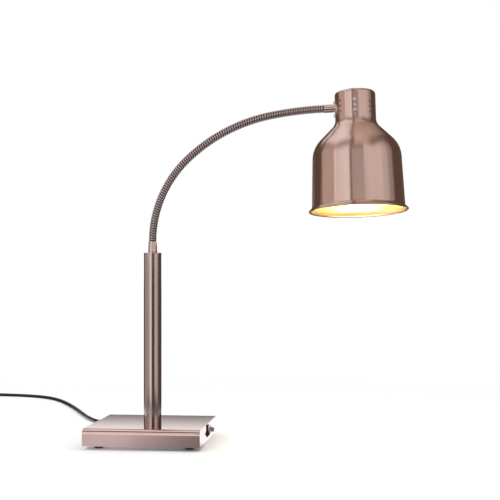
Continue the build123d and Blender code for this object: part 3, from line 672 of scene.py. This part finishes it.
def lathe(name, outline, place, material, segments, sharp):
    """A surface revolved about the place's Z from (r, z) points in millimetres."""
    vertices = []
    rows = []
    for r, z in outline:
        count = 1 if r < TINY else segments
        rows.append(range(len(vertices), len(vertices) + count))
        for k in range(count):
            angle = 2 * pi * k / segments
            vertices.append(place @ Vector((r * MM * cos(angle), r * MM * sin(angle), z * MM)))
    faces = []
    for low, high in zip(rows, rows[1:]):
        for k in range(segments):
            after = k + 1
            corners = [low[k % len(low)], low[after % len(low)], high[after % len(high)], high[k % len(high)]]
            face = list(dict.fromkeys(corners))
            if len(face) > 2:
                faces.append(face[::-1])
    return even_shading(make_mesh(name, vertices, faces, material, sharp))


def belongs(piece, body, slot, *nodes):
    """The piece rides on a body and stands for CAD nodes, which are hidden. slot is not used."""
    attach(piece, body)
    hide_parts(*nodes)


# ---------------------------------------------------------------- CAD nodes that stay: materials

KEPT = (
    (sheet_copper, "base_cover", "side_panel_left", "side_panel_right"),
    (tube_copper, "column_tube", "column_cap"),
    (turned_copper, "lower_ferrule"),
    (pale_copper, "upper_ferrule"),
    (
        zinc, "bottom_plate", "corner_blocks", "bottom_screws", "foot_screws", "counterweight_bolts",
        "column_foot", "column_washer", "column_nut", "ferrule_plate", "ferrule_nut", "bracket_nuts",
        "lampholder_bracket", "breaker_collar", "earth_stud",
    ),
    (mill_steel, "counterweight"),
    (nickel, "bracket_screws", "ferrule_screws", "lampholder_screws", "plug_pins"),
    (bright_nickel, "bracket_rivets"),
    (brass, "lampholder_shell", "lampholder_contact", "bulb_cap", "bulb_contact", "switch_terminals"),
    (foot_rubber, "rubber_feet"),
    (cord_rubber, "plug_body", "strain_relief"),
    (wire_silicone, "column_lead", "base_wiring", "head_lead"),
    (black_plastic, "switch_housing", "switch_rocker", "breaker_body", "bulb_insulator"),
    (grey_plastic, "reset_button"),
    (cream_plastic, "terminal_block"),
    (porcelain, "lampholder"),
    (woven_strap, "cord_tie"),
)


def finish_kept_nodes():
    """Each CAD node that stays gets its material."""
    for material, *nodes in KEPT:
        for node in nodes:
            mesh = frame["nodes"][node].data
            mesh.materials.clear()
            mesh.materials.append(material)


finish_kept_nodes()


# ---------------------------------------------------------------- gooseneck

NECK_RADIUS = 7.0 * MM
WIRE_PITCH = 4.44 * MM
STEPS_PER_TURN = 36
# Across one pitch: (share of the pitch, depth in mm) of one turn of the round wire
WIRE_PROFILE = (
    (-0.50, 1.45), (-0.44, 1.12), (-0.37, 0.72), (-0.27, 0.34), (-0.14, 0.08),
    (0.0, 0.0), (0.14, 0.08), (0.27, 0.34), (0.37, 0.72), (0.44, 1.12),
)
# Painted shade between the wire's turns: a place this deep gets all of it, and the power makes it darken late
GROOVE_SHADE_DEPTH = 0.9
GROOVE_SHADE_POWER = 1.5
INTO_FERRULE = 9.0 * MM
# How much of the way from a pivot to the nearer cut a bend would take up. The points found from it are not
# used.
BEND_REACH = 0.8


def neck_place(along):
    """The point this far along the gooseneck's line, and the direction across the line there."""
    x, _, z = JOINTS["neck_bend_1"]["pos_m"]
    heading = radians(90)
    for radius, angle, _ in NECK_ARCS:
        run = min(max(along, 0.0), radius * radians(angle))
        ahead = heading - run / radius
        x += radius * (sin(heading) - sin(ahead))
        z += radius * (cos(ahead) - cos(heading))
        heading = ahead
        along -= run
    forward = Vector((cos(heading), 0, sin(heading)))
    return Vector((x, 0, z)) + forward * along, forward.cross(Vector((0, 1, 0)))


def neck_pivots():
    """How far along the gooseneck each of its pivots is."""
    pivots = [0.0]
    for radius, angle, links in NECK_ARCS:
        for _ in range(links):
            pivots.append(pivots[-1] + radius * radians(angle) / links)
    return pivots


def wound_piece(name, first, last):
    """The wound wire from one step of the helix to another, as a ridged tube."""
    columns = len(WIRE_PROFILE)
    index = {}
    vertices = []
    groove_shade = []

    def vertex(step, column):
        if column == columns:
            step, column = step + STEPS_PER_TURN, 0
        if (step, column) not in index:
            share, depth = WIRE_PROFILE[column]
            turn = 2 * pi * step / STEPS_PER_TURN
            point, across = neck_place(WIRE_PITCH * (step / STEPS_PER_TURN + share))
            radius = NECK_RADIUS - depth * MM
            vertices.append(point + (across * cos(turn) + Vector((0, 1, 0)) * sin(turn)) * radius)
            # Painted shade: the deeper a place lies between the turns, the darker it is painted
            groove_shade.append(min(1.0, depth / GROOVE_SHADE_DEPTH) ** GROOVE_SHADE_POWER)
            index[step, column] = len(vertices) - 1
        return index[step, column]

    faces = []
    for step in range(first, last):
        for column in range(columns):
            near = (vertex(step, column), vertex(step, column + 1))
            beyond = (vertex(step + 1, column + 1), vertex(step + 1, column))
            faces.append(near + beyond)
    piece = make_mesh(name, vertices, faces, wound_copper, sharp=60.0)
    piece.data.attributes.new("groove_shade", "FLOAT", "POINT").data.foreach_set("value", groove_shade)
    return piece


def make_gooseneck():
    """Eleven lengths of the wound tube, each reaching across one pivot from mid-link to mid-link."""
    pivots = neck_pivots()
    cuts = [-INTO_FERRULE]
    cuts += [(low + high) / 2 for low, high in zip(pivots, pivots[1:])]
    cuts += [pivots[-1] + INTO_FERRULE]
    steps = [round(cut / WIRE_PITCH * STEPS_PER_TURN) for cut in cuts]
    for k, pivot in enumerate(pivots):
        piece = wound_piece(f"gooseneck_{k + 1:02d}", steps[k], steps[k + 1])
        reach = BEND_REACH * min(pivot - cuts[k], cuts[k + 1] - pivot)
        start = neck_place(pivot - reach)[0]
        end = neck_place(pivot + reach)[0]
        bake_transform(piece)
        if k < LINK_COUNT:
            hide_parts(f"neck_link_{k + 1:02d}")


make_gooseneck()


# ---------------------------------------------------------------- shade

SHADE_SEGMENTS = 192
SHADE_WALL = 1.2
SHADE_OUTLINE = ((0.0, 26.5), (36.0, 26.5), (36.0, -30.8), (77.7, -72.5), (82.0, -178.6), (86.64, -182.56))
SHADE_BENDS = (5.0, 22.0, 48.0, 6.0)
BEAD_CENTRE = Vector((86.2, -184.2))
BEAD_RADIUS = 1.7
NECK_OUTER = 36.0
HOLE_PITCH = 9.2
HOLE_MIDDLE_Z = -3.6
HOLE_TURN = -1.5
HOLE_SKEW = 2.5
VENT_RADIUS = 1.6
# The vents are cut in a grid of points round the neck. A vent takes up a patch of the grid, this many
# cells from its middle each way.
ROWS_PER_PITCH = 8
PATCH = 3
BAND_ROWS = range(-ROWS_PER_PITCH - PATCH, ROWS_PER_PITCH + PATCH + 1)
BAND_MARGIN = 0.5
# The bead's arc from the outer wall round to the inner one, in degrees
BEAD_FROM = 75
BEAD_STEP = 10
BEAD_POINTS = 30
# Each wall's circles round a vent, inwards: (how much wider than the hole, how far below the wall)
OUTER_VENT = ((0.55, 0.0), (0.12, 0.0), (0.0, 0.15))
INNER_VENT = ((0.55, 0.0), (0.0, 0.0))


def row_z(row):
    return HOLE_MIDDLE_Z + row * HOLE_PITCH / ROWS_PER_PITCH


def vent_places():
    """Each vent as (grid column, grid row): three high at the corners and on the right."""
    eighth = SHADE_SEGMENTS // 8
    return [(eighth * k, row * ROWS_PER_PITCH) for k in (0, 1, 3, 5, 7) for row in (-1, 0, 1)]


def round_shade(column):
    """The angle of a grid column: the pattern of vents is slightly turned."""
    return 2 * pi * column / SHADE_SEGMENTS + radians(HOLE_TURN)


def askew(angle):
    """How far the band of vents is raised at an angle, because it is slightly tilted."""
    return -HOLE_SKEW * cos(angle)


def inset(points, distance):
    """The outline moved inwards, to the right of its direction."""
    moved = []
    for k, point in enumerate(points):
        ahead = points[min(k + 1, len(points) - 1)] - points[max(k - 1, 0)]
        side = Vector((ahead.y, -ahead.x)).normalized()
        if k == 0:
            side = Vector((0, -1))
        moved.append(point + side * distance)
    return moved


def shade_walls():
    """The outer and inner outlines, each as points above, in and below the vents' band, and the bead."""
    outer = rounded(SHADE_OUTLINE, SHADE_BENDS, step=5.0)
    inner = inset(outer, SHADE_WALL)
    bead = []
    for k in range(1, BEAD_POINTS + 1):
        angle = radians(BEAD_FROM - BEAD_STEP * k)
        bead.append(BEAD_CENTRE + BEAD_RADIUS * Vector((cos(angle), sin(angle))))
    top, bottom = row_z(BAND_ROWS[-1]), row_z(BAND_ROWS[0])
    walls = []
    for wall, radius in ((outer, NECK_OUTER), (inner, NECK_OUTER - SHADE_WALL)):
        above = [p for p in wall if p.y > top + HOLE_SKEW + BAND_MARGIN]
        below = [p for p in wall if p.y < bottom - HOLE_SKEW - BAND_MARGIN]
        band = [Vector((radius, row_z(row))) for row in reversed(BAND_ROWS)]
        walls.append((above, band, below))
    return walls, bead


def vent_ring(wall_radius, column, row, hole_radius):
    """The circle of one vent on the neck's wall, a point for each step round its patch."""
    ring = []
    for k in range(8 * PATCH):
        turn = 2 * pi * k / (8 * PATCH)
        angle = round_shade(column) + hole_radius * cos(turn) / wall_radius
        height = row_z(row) + hole_radius * sin(turn) + askew(angle)
        ring.append((wall_radius * cos(angle), wall_radius * sin(angle), height))
    return ring


def patch_border(column, row):
    """The grid points round one vent's patch, anticlockwise from its middle right."""
    steps = []
    for k in range(PATCH):
        steps.append((PATCH, k))
    for k in range(2 * PATCH):
        steps.append((PATCH - k, PATCH))
    for k in range(2 * PATCH):
        steps.append((-PATCH, PATCH - k))
    for k in range(2 * PATCH):
        steps.append((-PATCH + k, -PATCH))
    for k in range(PATCH):
        steps.append((PATCH, -PATCH + k))
    return [((column + dx) % SHADE_SEGMENTS, row + dy) for dx, dy in steps]


class ShadeMesh:
    """The shade's mesh as it grows: points in millimetres from its own origin, and faces by their numbers."""

    def __init__(self, vents):
        self.vents = vents
        self.vertices = []
        self.faces = []

    def add_points(self, points):
        """The new points' numbers."""
        first = len(self.vertices)
        self.vertices.extend(points)
        return list(range(first, len(self.vertices)))

    def add_ring(self, point, tilted=False):
        """A ring round the axis at an outline's point, or on the axis one point that stands for a ring."""
        if point.x < TINY:
            return self.add_points([(0, 0, point.y)]) * SHADE_SEGMENTS
        ring = []
        for k in range(SHADE_SEGMENTS):
            angle = round_shade(k)
            raised = askew(angle) if tilted else 0.0
            ring.append((point.x * cos(angle), point.x * sin(angle), point.y + raised))
        return self.add_points(ring)

    def add_face(self, corners, flip):
        face = list(dict.fromkeys(reversed(corners) if flip else corners))
        if len(face) > 2:
            self.faces.append(face)

    def in_vent(self, column, row):
        """Whether the cell right of and above this grid point lies in a vent's patch."""
        half = SHADE_SEGMENTS // 2
        for vent_column, vent_row in self.vents:
            across = (column - vent_column + half) % SHADE_SEGMENTS - half
            if -PATCH <= across < PATCH and -PATCH <= row - vent_row < PATCH:
                return True
        return False

    def join(self, upper, lower, flip=False, row=None):
        """Faces between two rings. Where row says which grid row the lower one is, vents stay open."""
        for k in range(SHADE_SEGMENTS):
            if row is not None and self.in_vent(k, row):
                continue
            after = (k + 1) % SHADE_SEGMENTS
            self.add_face([upper[k], lower[k], lower[after], upper[after]], flip)

    def bridge(self, outside, inside, flip=False):
        """Faces between two loops round the same vent."""
        for k in range(len(outside)):
            after = (k + 1) % len(outside)
            self.add_face([outside[k], outside[after], inside[after], inside[k]], flip)

    def add_vent(self, grid, column, row, radius, circles, flip):
        """The wall in one vent's patch, up to the hole. It returns the hole's edge."""
        edge = [grid[r][c] for c, r in patch_border(column, row)]
        for wider, deeper in circles:
            circle = self.add_points(vent_ring(radius - deeper, column, row, VENT_RADIUS + wider))
            self.bridge(edge, circle, flip)
            edge = circle
        return edge

    def add_wall(self, wall, radius, circles, flip=False):
        """One wall with its vents. It returns the wall's lowest ring and the holes' edges."""
        above, band, below = wall
        rings = [self.add_ring(point) for point in above]
        rings += [self.add_ring(point, tilted=True) for point in band]
        rings += [self.add_ring(point) for point in below]
        top_row = BAND_ROWS[-1] + len(above)
        for k, (upper, lower) in enumerate(zip(rings, rings[1:])):
            self.join(upper, lower, flip, row=top_row - k - 1)
        grid = dict(zip(reversed(BAND_ROWS), rings[len(above):]))
        edges = [self.add_vent(grid, column, row, radius, circles, flip) for column, row in self.vents]
        return rings[-1], edges


def make_shade():
    """The spun bell: closed neck with vents, sloping shoulder, long skirt and beaded lip."""
    (outer, inner), bead = shade_walls()
    bell = ShadeMesh(vent_places())
    last, outer_edges = bell.add_wall(outer, NECK_OUTER, OUTER_VENT)
    first_inside = len(bell.faces)
    inner_last, inner_edges = bell.add_wall(inner, NECK_OUTER - SHADE_WALL, INNER_VENT, flip=True)
    inside_faces = range(first_inside, len(bell.faces))
    for outside, inside in zip(outer_edges, inner_edges):
        bell.bridge(outside, inside)
    for point in bead:
        ring = bell.add_ring(point)
        bell.join(last, ring)
        last = ring
    bell.join(last, inner_last)
    placed = [SHADE @ (Vector(v) * MM) for v in bell.vertices]
    shade = even_shading(make_mesh("shade", placed, bell.faces, spun_copper, sharp=40.0))
    # The inner faces take the inner wall's colour, with the bulb's glow partly painted in
    shade.data.materials.append(reflector_with_painted_glow)
    for k in inside_faces:
        shade.data.polygons[k].material_index = 1
    belongs(shade, "head", "copper_spun", "shade_shell")


make_shade()


# ---------------------------------------------------------------- bulb

BULB_OUTLINE = ((13.2, -22.1), (14.8, -46.0), (62.5, -120.0), (62.5, -148.0), (34.0, -174.0), (0.0, -174.0))
BULB_BENDS = (30.0, 16.0, 20.0, 60.0)
# The glow comes in downwards in two steps: (its share, from and to this far below the gooseneck's line)
BULB_GLOW = ((0.25, 118, 150), (0.75, 150, 172))


def make_bulb():
    """The reflector bulb: silvered up its cone, frosted and glowing on its domed face."""
    outline = rounded(BULB_OUTLINE, BULB_BENDS, step=4.0)
    bulb = lathe("bulb", outline, SHADE, lit_glass, segments=128, sharp=60.0)
    upright = SHADE.inverted()
    warmth = []
    for v in bulb.data.vertices:
        z = (upright @ v.co).z / MM
        warmth.append(sum(share * ease(-z, top, bottom) for share, top, bottom in BULB_GLOW))
    bulb.data.attributes.new("warmth", "FLOAT", "POINT").data.foreach_set("value", warmth)
    belongs(bulb, "head", "bulb_glass", "bulb_glass")


make_bulb()


# ---------------------------------------------------------------- cord's own pieces

mains_cord.data.materials.append(cord_rubber)
belongs(mains_cord, "base", "cord_rubber", "power_cord", "cord_coil", "cord_tail")
